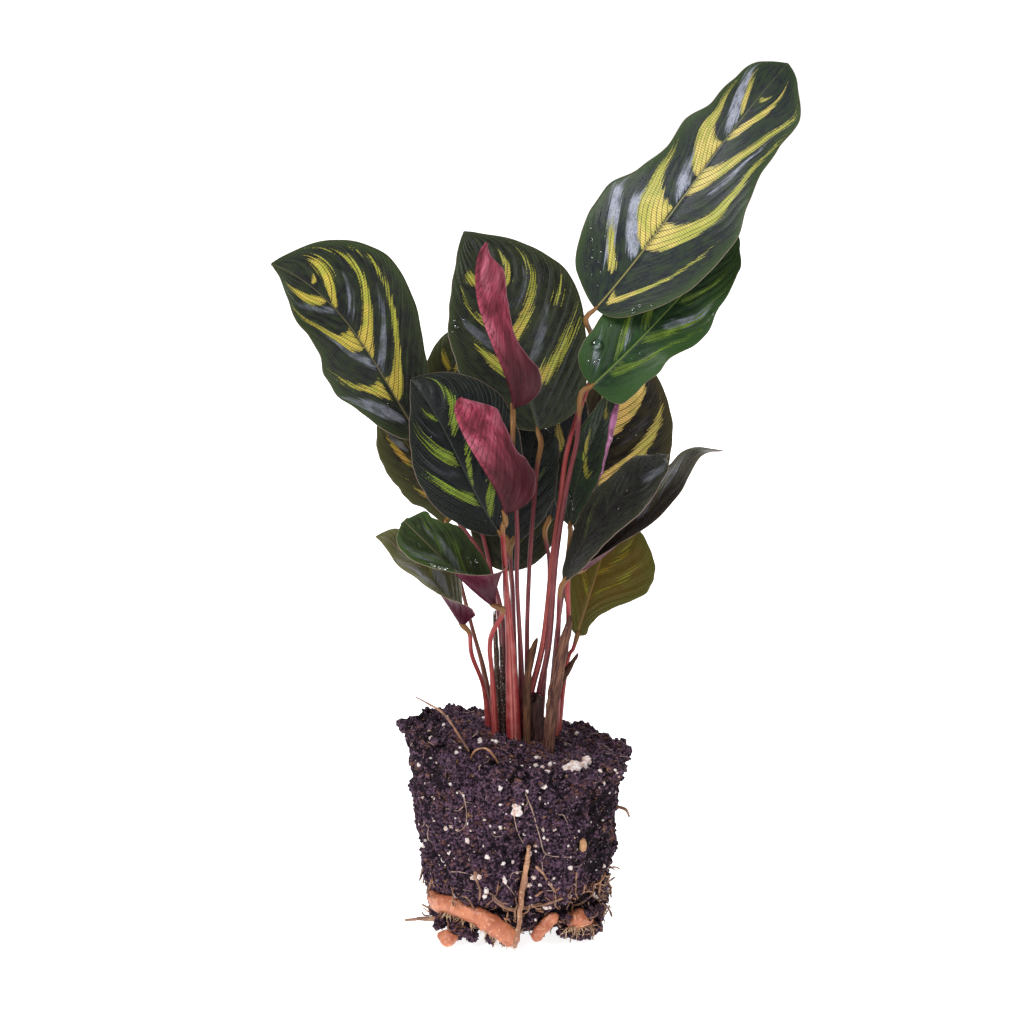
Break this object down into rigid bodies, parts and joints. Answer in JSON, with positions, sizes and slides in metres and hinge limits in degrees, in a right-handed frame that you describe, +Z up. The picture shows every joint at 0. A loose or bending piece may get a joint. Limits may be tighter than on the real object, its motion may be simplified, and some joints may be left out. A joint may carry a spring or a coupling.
{
  "type": "peacock calathea plant with bare root ball",
  "caption": "Young peacock calathea lifted out of its pot: striped leaf blades, some rolled, on thin red stalks rising from a tapered ball of dark soil with thick roots round its foot",
  "frame": {"origin": "on the flat underside of the root ball, below the middle of its rim, on the surface the plant stands on", "axes": "+Z up along the stalks; the side with the rolled red leaves looks along -Y; +X is to the right of a viewer at that side, where the tallest leaf leans"},
  "size_m": [0.254, 0.1487, 0.4276],
  "materials": {
    "blade": "satin",
    "stalk": "satin",
    "withered": "matte",
    "soil": "matte",
    "root": "matte",
    "perlite": "matte"
  },
  "bodies": {
    "root": {"root_ball": "soil", "blade_right_top": "blade", "blade_right_second": "blade", "blade_left_top": "blade", "blade_centre_top": "blade", "blade_rolled_top": "blade", "blade_rolled_low": "blade", "blade_left_centre": "blade", "blade_left_back_high": "blade", "blade_left_back_low": "blade", "blade_low_left_upper": "blade", "blade_low_left_lower": "blade", "blade_centre_low": "blade", "blade_centre_mid": "blade", "blade_right_back": "blade", "blade_right_narrow": "blade", "blade_right_dark": "blade", "blade_right_far": "blade", "blade_low_right": "blade", "blade_centre_back": "blade", "stalk_right_top": "stalk", "stalk_right_second": "stalk", "stalk_left_top": "stalk", "stalk_centre_top": "stalk", "stalk_rolled_top": "stalk", "stalk_rolled_low": "stalk", "stalk_left_centre": "stalk", "stalk_left_back_high": "stalk", "stalk_left_back_low": "stalk", "stalk_low_left_upper": "stalk", "stalk_low_left_lower": "stalk", "stalk_centre_low": "stalk", "stalk_centre_mid": "stalk", "stalk_right_back": "stalk", "stalk_right_narrow": "stalk", "stalk_right_dark": "stalk", "stalk_right_far": "stalk", "stalk_low_right": "stalk", "stalk_centre_back": "stalk", "dead_stem_left": "withered", "dead_stem_right": "withered", "brown_sheath": "withered", "long_sheath": "withered", "pointed_scale": "withered", "dry_sheath": "withered", "thick_root_left": "root", "thick_root_right": "root", "front_root": "root", "left_tuber": "root", "right_tuber": "root", "twig_low": "root", "twig_high": "root", "arched_root": "root", "side_rootlet": "root", "root_bud": "root", "perlite_large": "perlite", "perlite_small": "perlite", "perlite_front": "perlite"}
  },
  "joints": []
}
